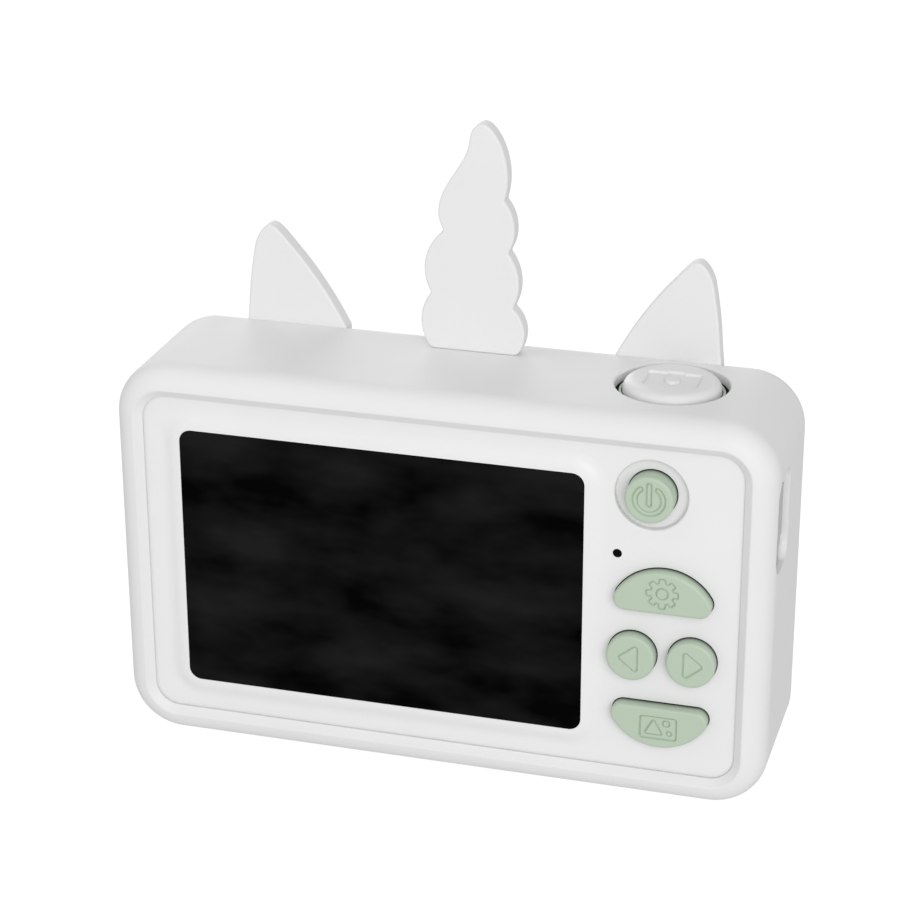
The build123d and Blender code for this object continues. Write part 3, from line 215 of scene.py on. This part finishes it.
def tab_outline(ring, reach):
    """The ring pushed out to reach on its two sides, where the shutter's tabs are."""
    turns = np.arctan2(ring[:, 1], ring[:, 0])
    tabs = np.abs(reach * np.sin(turns)) < SHUTTER_TAB_HALF
    radius = np.where(tabs, reach, np.hypot(ring[:, 0], ring[:, 1]))
    return np.stack([radius * np.cos(turns), radius * np.sin(turns)], axis=1)


# ---- caps ----------------------------------------------------------------------------------------
def smooth_step(amount):
    """A soft S from 0 to 1."""
    amount = np.clip(amount, 0, 1)
    return amount * amount * (3 - 2 * amount)


def relief(icon, ring, depth, groove):
    """How far the surface is pressed in at each point of a ring: inside the icon and along its outline."""
    distance = icon(ring[:, 0], ring[:, 1])
    inside = smooth_step(0.5 - distance / ICON_WALL)
    outline = smooth_step(1 - np.abs(distance) / GROOVE_HALF)
    return depth * inside + groove * outline


def cap_rings(outline, edge_r, icon, icon_depth, groove):
    """Rings over the cap's face, from its middle out, and round its edge: (points, height) pairs."""
    rim = outline(-edge_r)
    reach = np.hypot(rim[:, 0], rim[:, 1]).max()
    steps = int(reach / CAP_STEP)
    rings = []
    for i in range(1, steps + 1):
        ring = rim * (i / steps)
        rings.append((ring, -relief(icon, ring, icon_depth, groove)))
    for i in range(1, EDGE_STEPS + 1):
        turn = i / EDGE_STEPS * pi / 2
        rings.append((outline(-edge_r + edge_r * sin(turn)), -edge_r * (1 - cos(turn))))
    return rings


def skin(name, rings, place):
    """Join rings into one closed mesh. place turns (across, up, out) into a point of the scene."""
    count = len(rings[0][0])
    layers = [np.column_stack([points, np.broadcast_to(height, count)]) for points, height in rings]
    first = np.append(np.zeros(2), layers[0][:, 2].mean())
    last = np.append(layers[-1][:, :2].mean(axis=0), layers[-1][0, 2])
    local = np.concatenate([[first], *layers, [last]])
    faces = [(0, 1 + i, 1 + (i + 1) % count) for i in range(count)]
    for layer in range(len(layers) - 1):
        start = 1 + layer * count
        for i in range(count):
            after = (i + 1) % count
            faces.append((start + i, start + count + i, start + count + after, start + after))
    end = len(local) - 1
    start = end - count
    faces += [(end, start + (i + 1) % count, start + i) for i in range(count)]
    mesh = bpy.data.meshes.new(name)
    mesh.from_pydata([place @ Vector(point) for point in local.tolist()], [], faces)
    if place.to_3x3().determinant() < 0:
        mesh.flip_normals()
    mesh.shade_smooth()
    mesh.set_sharp_from_angle(angle=CREASE)
    piece = bpy.data.objects.new(name, mesh)
    bpy.context.scene.collection.objects.link(piece)
    return piece


def rear_place(middle_x, middle_z, face_y):
    """Maps across, up and out in millimetres on to a rear button's face."""
    return Matrix(((MM, 0, 0, middle_x), (0, 0, -MM, face_y), (0, MM, 0, middle_z), (0, 0, 0, 1)))


def rear_cap(node, outline, icon):
    """A rear button: face, rounded edge, wall, flange and stem."""
    low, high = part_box(node)
    middle_x, middle_z = (low[0] + high[0]) / 2, (low[2] + high[2]) / 2
    depth = (high[1] - low[1]) / MM
    flange_top = -(depth - STEM_LENGTH - FLANGE_THICKNESS)
    rings = cap_rings(outline, CAP_EDGE_R, icon, ICON_DEPTH, GROOVE_DEPTH)
    turns = np.arctan2(outline(0)[:, 1], outline(0)[:, 0])
    stem = np.stack([STEM_R * np.cos(turns), STEM_R * np.sin(turns)], axis=1)
    rings += [(outline(0), flange_top), (outline(FLANGE_WIDER), flange_top),
              (outline(FLANGE_WIDER), flange_top - FLANGE_THICKNESS),
              (stem, flange_top - FLANGE_THICKNESS), (stem, -depth)]
    return skin(node + "_cap", rings, rear_place(middle_x, middle_z, low[1]))


def round_button(node, icon):
    """A round rear button with the radius of its CAD box, less the flange."""
    low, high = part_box(node)
    radius = (high[0] - low[0]) / 2 / MM - FLANGE_WIDER
    return rear_cap(node, circle_outline(radius), icon)


def moon_button(node, side, icon):
    """A half-moon rear button whose dome points up (+1) or down (-1)."""
    low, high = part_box(node)
    height = (high[2] - low[2]) / MM - 2 * FLANGE_WIDER
    return rear_cap(node, moon_outline(side, height), icon)


def shutter_cap():
    """The large round button on the top, with a camera pressed into it and a tab on each side."""
    low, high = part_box("shutter_button")
    outline = circle_outline(SHUTTER_CAP_R)
    rings = cap_rings(outline, SHUTTER_EDGE_R, camera_icon, SHUTTER_ICON_DEPTH, SHUTTER_GROOVE_DEPTH)
    tabs = tab_outline(outline(0), (high[0] - low[0]) / 2 / MM)
    under = -SHUTTER_TAB_TOP - SHUTTER_TAB_DROP
    stem = outline(SHUTTER_STEM_R - SHUTTER_CAP_R)
    rings += [(outline(0), -SHUTTER_TAB_TOP), (tabs, -SHUTTER_TAB_TOP), (tabs, under),
              (stem, under), (stem, (low[2] - high[2]) / MM)]
    middle_x, middle_y = (low[0] + high[0]) / 2, (low[1] + high[1]) / 2
    place = Matrix(((MM, 0, 0, middle_x), (0, MM, 0, middle_y), (0, 0, MM, high[2]), (0, 0, 0, 1)))
    return skin("shutter_button_cap", rings, place)


# ---- materials -----------------------------------------------------------------------------------
SAGE = (0.475, 0.575, 0.452)
FADED = 0.985


class Finish:
    """A Principled material whose colour, roughness and bump come from noise in object space."""

    def __init__(self, name, roughness, **constants):
        self.material = bpy.data.materials.new(name)
        self.material.use_nodes = True
        self.nodes, self.links = self.material.node_tree.nodes, self.material.node_tree.links
        self.shader = self.nodes["Principled BSDF"]
        self.shader.inputs["Roughness"].default_value = roughness
        for socket, value in constants.items():
            self.shader.inputs[socket.replace("_", " ")].default_value = value
        self.place = self.nodes.new("ShaderNodeTexCoord").outputs["Object"]

    def noise(self, size, detail=3.0, stretch=(1, 1, 1)):
        """Noise whose features are about size millimetres across."""
        mapping = self.nodes.new("ShaderNodeMapping")
        mapping.inputs["Scale"].default_value = stretch
        texture = self.nodes.new("ShaderNodeTexNoise")
        texture.inputs["Scale"].default_value = 1 / (size * MM)
        texture.inputs["Detail"].default_value = detail
        self.links.new(self.place, mapping.inputs["Vector"])
        self.links.new(mapping.outputs["Vector"], texture.inputs["Vector"])
        return texture.outputs["Fac"]

    def colour(self, factor, dark, light, start=0.3, end=0.7):
        """Fade from dark to light as a factor goes from start to end."""
        ramp = self.nodes.new("ShaderNodeValToRGB")
        for element, place, colour in zip(ramp.color_ramp.elements, (start, end), (dark, light)):
            element.position, element.color = place, (*colour, 1)
        self.links.new(factor, ramp.inputs["Fac"])
        self.links.new(ramp.outputs["Color"], self.shader.inputs["Base Color"])
        return self

    def roughness(self, factor, low, high):
        """Let the gloss vary between two roughnesses."""
        span = self.nodes.new("ShaderNodeMapRange")
        span.inputs["To Min"].default_value, span.inputs["To Max"].default_value = low, high
        self.links.new(factor, span.inputs["Value"])
        self.links.new(span.outputs["Result"], self.shader.inputs["Roughness"])
        return self

    def bump(self, factor, height):
        """Raise the surface by up to height millimetres; bumps stack."""
        bump = self.nodes.new("ShaderNodeBump")
        bump.inputs["Distance"].default_value = height * MM
        self.links.new(factor, bump.inputs["Height"])
        before = self.shader.inputs["Normal"].links
        if before:
            self.links.new(before[0].from_socket, bump.inputs["Normal"])
        self.links.new(bump.outputs["Normal"], self.shader.inputs["Normal"])
        return self


def shade(colour, by):
    return tuple(channel * by for channel in colour)


def moulded(name, colour, roughness, grain=0.35, **constants):
    """Moulded plastic: a trace of mottling, uneven gloss and a fine spark-eroded grain."""
    cloud_size, gloss_size, gloss_swing, grain_height = 14.0, 3.0, 0.05, 0.006
    finish = Finish(name, roughness, **constants)
    finish.colour(finish.noise(cloud_size, 4.0), shade(colour, FADED), colour)
    finish.roughness(finish.noise(gloss_size), roughness - gloss_swing, roughness + gloss_swing)
    return finish.bump(finish.noise(grain, 2.0), grain_height).material


def silicone():
    """Soft matt silicone rubber: dusty sheen, faint handling marks and a fine skin."""
    white = (0.795, 0.795, 0.797)
    dust_size, mark_size, skin_size, wave_size = 20.0, 6.0, 0.22, 5.0
    skin_height, wave_height = 0.004, 0.01
    finish = Finish("silicone", 0.55, Sheen_Weight=0.06, Sheen_Roughness=0.5, Specular_IOR_Level=0.35)
    finish.colour(finish.noise(dust_size, 5.0), shade(white, FADED), white)
    finish.roughness(finish.noise(mark_size, 4.0), 0.5, 0.62)
    finish.bump(finish.noise(skin_size, 2.0), skin_height)
    return finish.bump(finish.noise(wave_size, 2.0), wave_height).material


def white_shell():
    return moulded("white_shell", (0.82, 0.82, 0.822), 0.38, Specular_IOR_Level=0.4)


def sage(name="sage"):
    return moulded(name, SAGE, 0.42, Specular_IOR_Level=0.4)


def sage_with_painted_shade(node_name, level):
    """Sage with painted shade: it darkens down a rear button's wall towards level, the face that the button
    stands in, where the gap's shade falls.
    """
    material = sage("sage_" + node_name)
    nodes, links = material.node_tree.nodes, material.node_tree.links
    shader = nodes["Principled BSDF"]
    depth = nodes.new("ShaderNodeSeparateXYZ")
    links.new(nodes["Texture Coordinate"].outputs["Object"], depth.inputs["Vector"])
    fade = nodes.new("ShaderNodeMapRange")
    fade.inputs["From Min"].default_value = level - GAP_SHADE * MM
    fade.inputs["From Max"].default_value = level
    links.new(depth.outputs["Y"], fade.inputs["Value"])
    steepen = nodes.new("ShaderNodeMath")
    steepen.operation = "POWER"
    steepen.inputs[1].default_value = GAP_FALLOFF
    links.new(fade.outputs["Result"], steepen.inputs[0])
    mix = nodes.new("ShaderNodeMix")
    mix.data_type = "RGBA"
    unshaded, painted_shade = (socket for socket in mix.inputs if socket.type == "RGBA")
    links.new(steepen.outputs["Value"], mix.inputs["Factor"])
    links.new(shader.inputs["Base Color"].links[0].from_socket, unshaded)
    # painted shade: sage darkened almost to black at the wall's foot
    painted_shade.default_value = (*shade(SAGE, GAP_TONE), 1)
    mixed = next(socket for socket in mix.outputs if socket.type == "RGBA")
    links.new(mixed, shader.inputs["Base Color"])
    return material


def shutter_white():
    return moulded("shutter_white", (0.79, 0.79, 0.792), 0.36, Specular_IOR_Level=0.4)


# The door's grey, darker than the shell's white, is partly the door's own colour and partly painted shade
# of the recess that the door sits in.
def door_plastic():
    return moulded("door", (0.50, 0.50, 0.502), 0.42, Specular_IOR_Level=0.4)


def bezel():
    return moulded("bezel", SAGE, 0.32, Specular_IOR_Level=0.45)


def black_moulding():
    return moulded("barrel", (0.014, 0.014, 0.015), 0.5)


def socket_plastic():
    return moulded("boot", (0.003, 0.003, 0.003), 0.8, Specular_IOR_Level=0.05)


def speaker_cone():
    return moulded("speaker", (0.03, 0.03, 0.032), 0.55)


def chips():
    return moulded("chips", (0.022, 0.022, 0.024), 0.45, grain=0.2)


def plug():
    return moulded("plug", (0.76, 0.74, 0.69), 0.45)


def battery():
    """Silvery laminated foil with soft creases."""
    finish = Finish("battery", 0.35, Metallic=0.85)
    finish.colour(finish.noise(10.0, 4.0), (0.50, 0.51, 0.53), (0.62, 0.63, 0.65))
    finish.roughness(finish.noise(2.0), 0.28, 0.42)
    return finish.bump(finish.noise(3.0, 4.0, (1, 1, 0.3)), 0.08).material


def screen_glass():
    """A dark display behind glass, with cloudy fingerprints."""
    finish = Finish("screen_glass", 0.2, Specular_IOR_Level=0.03)
    cloud = finish.noise(16.0, 3.0, (0.7, 1, 1.5))
    finish.colour(cloud, (0.0, 0.0, 0.0), (0.011, 0.011, 0.011), 0.38, 0.68)
    return finish.roughness(finish.noise(9.0, 5.0), 0.16, 0.3).material


def lcd():
    """The display's dark face with the faint grid of its picture elements."""
    finish = Finish("lcd", 0.25)
    dark, light = (0.006, 0.006, 0.008), (0.012, 0.012, 0.015)
    return finish.colour(finish.noise(0.4, 0.0), dark, light, 0.4, 0.6).material


def backlight():
    """A white reflector film with a fine dimple pattern."""
    finish = Finish("backlight", 0.5)
    finish.colour(finish.noise(4.0), (0.70, 0.71, 0.72), (0.78, 0.79, 0.80))
    return finish.bump(finish.noise(0.3), 0.01).material


def brushed_metal(name, dark, light, roughness, stretch):
    """Metal with fine scratches along the axis that stretch is smallest on."""
    finish = Finish(name, roughness, Metallic=1.0)
    finish.colour(finish.noise(2.0, 4.0, stretch), dark, light)
    finish.roughness(finish.noise(1.0, 3.0, stretch), roughness - 0.07, roughness + 0.07)
    return finish.bump(finish.noise(0.3, 3.0, stretch), 0.003).material


def steel():
    return brushed_metal("steel", (0.50, 0.50, 0.51), (0.62, 0.62, 0.63), 0.28, (1, 1, 0.1))


def tinned_steel():
    return brushed_metal("tinned_steel", (0.55, 0.55, 0.54), (0.68, 0.68, 0.67), 0.36, (0.2, 1, 1))


def polyimide():
    """Amber flexible circuit with copper tracks showing through."""
    finish = Finish("polyimide", 0.35)
    tracks = finish.nodes.new("ShaderNodeTexWave")
    tracks.inputs["Scale"].default_value = 400.0
    finish.links.new(finish.place, tracks.inputs["Vector"])
    finish.colour(tracks.outputs["Fac"], (0.32, 0.12, 0.015), (0.45, 0.2, 0.04), 0.35, 0.6)
    return finish.bump(tracks.outputs["Fac"], 0.02).material


def foam():
    """Black open-cell foam."""
    finish = Finish("foam", 0.95, Specular_IOR_Level=0.1)
    finish.colour(finish.noise(0.5), (0.006, 0.006, 0.006), (0.02, 0.02, 0.02))
    return finish.bump(finish.noise(0.35, 4.0), 0.12).material


def board():
    """Green solder mask over copper tracks."""
    finish = Finish("board", 0.3)
    tracks = finish.nodes.new("ShaderNodeTexBrick")
    tracks.inputs["Scale"].default_value = 120.0
    tracks.inputs["Color1"].default_value = (0.006, 0.085, 0.028, 1)
    tracks.inputs["Color2"].default_value = (0.008, 0.10, 0.034, 1)
    tracks.inputs["Mortar"].default_value = (0.015, 0.16, 0.055, 1)
    finish.links.new(finish.place, tracks.inputs["Vector"])
    finish.links.new(tracks.outputs["Color"], finish.shader.inputs["Base Color"])
    return finish.bump(tracks.outputs["Fac"], 0.02).material


def switches():
    """Small metal-capped switches, a little dull from soldering."""
    finish = Finish("switches", 0.35, Metallic=0.6)
    finish.colour(finish.noise(1.5), (0.35, 0.35, 0.36), (0.5, 0.5, 0.51))
    return finish.bump(finish.noise(0.3), 0.01).material


def microphone():
    return brushed_metal("microphone", (0.45, 0.43, 0.36), (0.6, 0.57, 0.48), 0.3, (1, 1, 1))


def wires():
    """Red insulated leads."""
    finish = Finish("wires", 0.45)
    finish.colour(finish.noise(3.0, 1.0), (0.35, 0.012, 0.01), (0.45, 0.02, 0.015), 0.4, 0.6)
    return finish.bump(finish.noise(0.4), 0.02).material


def card():
    """A dark blue memory card with a slightly lighter face."""
    finish = Finish("card", 0.45)
    finish.colour(finish.noise(4.0), (0.012, 0.02, 0.05), (0.02, 0.03, 0.07))
    return finish.bump(finish.noise(0.25), 0.008).material


def clear():
    """Hard clear acrylic with a trace of dust."""
    finish = Finish("clear", 0.06, IOR=1.49, Transmission_Weight=1.0)
    finish.colour(finish.noise(8.0), (0.93, 0.94, 0.95), (0.98, 0.98, 0.99))
    return finish.roughness(finish.noise(4.0, 5.0), 0.02, 0.09).material


def flash():
    """The yellow phosphor of a white light-emitting diode."""
    finish = Finish("flash", 0.3)
    finish.colour(finish.noise(0.8), (0.75, 0.62, 0.12), (0.85, 0.76, 0.25))
    return finish.bump(finish.noise(0.3), 0.02).material


MATERIALS = {
    "silicone": silicone, "white_shell": white_shell, "screen_glass": screen_glass, "lcd": lcd,
    "backlight": backlight, "tinned_steel": tinned_steel, "polyimide": polyimide, "foam": foam,
    "board": board, "chips": chips, "switches": switches, "microphone": microphone,
    "boot": socket_plastic, "speaker": speaker_cone, "battery": battery, "wires": wires, "plug": plug,
    "card": card, "door": door_plastic, "sage": sage, "shutter_white": shutter_white, "steel": steel,
    "bezel": bezel, "clear": clear, "barrel": black_moulding, "flash": flash,
}


def fit_cap(cap, node_name, material):
    """Put a finished cap in the place of its CAD node, on the same body."""
    cap.data.materials.append(material)
    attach(cap, node_name)
    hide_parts(node_name)


def dress_frame(finishes):
    """Give every CAD node the finish of its material slot."""
    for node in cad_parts.values():
        for slot in node.material_slots:
            slot.material = finishes[slot.material.name.split(".")[0]]


# ---- stage ---------------------------------------------------------------------------------------
def make_floor():
    """A pale floor that shows as white but lights the object less than a white one would."""
    half, cloud_size = FLOOR_SIZE / 2, 400.0
    corners = [(-half, -half, 0), (half, -half, 0), (half, half, 0), (-half, half, 0)]
    mesh = bpy.data.meshes.new("floor")
    mesh.from_pydata(corners, [], [(0, 1, 2, 3)])
    floor = bpy.data.objects.new("floor", mesh)
    bpy.context.scene.collection.objects.link(floor)
    finish = Finish("floor", 0.9, Specular_IOR_Level=0.0)
    white = (FLOOR_ALBEDO,) * 3
    finish.colour(finish.noise(cloud_size), shade(white, FLOOR_FADED), white, 0.0, 1.0)
    finish.shader.inputs["Emission Color"].default_value = (1, 1, 1, 1)
    glow = finish.nodes.new("ShaderNodeMapRange")
    glow.inputs["To Min"].default_value, glow.inputs["To Max"].default_value = FLOOR_LIGHT, FLOOR_SEEN
    finish.links.new(finish.nodes.new("ShaderNodeLightPath").outputs["Is Camera Ray"], glow.inputs["Value"])
    finish.links.new(glow.outputs["Result"], finish.shader.inputs["Emission Strength"])
    mesh.materials.append(finish.material)


def make_sky():
    """Even studio light, with a white backdrop beyond the floor."""
    world = bpy.data.worlds.new("studio")
    world.use_nodes = True
    nodes, links = world.node_tree.nodes, world.node_tree.links
    glow = nodes["Background"]
    glow.inputs["Color"].default_value = (1, 1, 1, 1)
    glow.inputs["Strength"].default_value = SKY_LIGHT
    backdrop = nodes.new("ShaderNodeBackground")
    backdrop.inputs["Color"].default_value = (1, 1, 1, 1)
    backdrop.inputs["Strength"].default_value = SKY_SEEN
    mix = nodes.new("ShaderNodeMixShader")
    links.new(nodes.new("ShaderNodeLightPath").outputs["Is Camera Ray"], mix.inputs["Fac"])
    links.new(glow.outputs["Background"], mix.inputs[1])
    links.new(backdrop.outputs["Background"], mix.inputs[2])
    links.new(mix.outputs["Shader"], nodes["World Output"].inputs["Surface"])
    bpy.context.scene.world = world


def outward(azimuth, elevation):
    """The direction from the object to a viewer at this azimuth and elevation."""
    return Vector((sin(azimuth) * cos(elevation), -cos(azimuth) * cos(elevation), sin(elevation)))


def make_light(name, azimuth, elevation, distance, width, power):
    """A soft round lamp that looks at the middle of the object."""
    light = bpy.data.lights.new(name, "AREA")
    light.shape, light.size, light.energy = "DISK", width, power
    lamp = bpy.data.objects.new(name, light)
    away = outward(radians(azimuth), radians(elevation))
    lamp.location = CAMERA_AIM + distance * away
    lamp.rotation_euler = away.to_track_quat("Z", "Y").to_euler()
    bpy.context.scene.collection.objects.link(lamp)


def make_camera():
    """The camera at the photograph's viewing angle."""
    data = bpy.data.cameras.new("camera_view")
    data.lens, data.sensor_width = LENS, SENSOR
    viewer = bpy.data.objects.new("camera_view", data)
    away = outward(CAMERA_AZIMUTH, CAMERA_ELEVATION)
    turn = away.to_track_quat("Z", "Y").to_matrix().to_4x4() @ Matrix.Rotation(CAMERA_ROLL, 4, "Z")
    viewer.matrix_world = Matrix.Translation(CAMERA_AIM + CAMERA_DISTANCE * away) @ turn
    bpy.context.scene.collection.objects.link(viewer)
    bpy.context.scene.camera = viewer
    bpy.context.scene.view_settings.view_transform = "Standard"


# ---- build ---------------------------------------------------------------------------------------
make_camera()
make_sky()
make_floor()
for light_name, settings in LIGHTS.items():
    make_light(light_name, *settings)

finishes = {name: make() for name, make in MATERIALS.items()}
dress_frame(finishes)

plate_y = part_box("screen_glass")[0][1] + PLATE_DEPTH * MM
dish_y = plate_y + POWER_DISH * MM
# each cap's node, its mesh, and the level of the face that it stands in
rear_caps = [
    ("power_button", round_button("power_button", power_icon), dish_y),
    ("left_button", round_button("left_button", arrow_icon(-1)), plate_y),
    ("right_button", round_button("right_button", arrow_icon(1)), plate_y),
    ("settings_button", moon_button("settings_button", 1, gear_icon), plate_y),
    ("gallery_button", moon_button("gallery_button", -1, gallery_icon), plate_y),
]
# each rear cap gets sage with painted shade down its wall, towards the face that it stands in
for node_name, cap, level in rear_caps:
    fit_cap(cap, node_name, sage_with_painted_shade(node_name, level))
fit_cap(shutter_cap(), "shutter_button", finishes["shutter_white"])
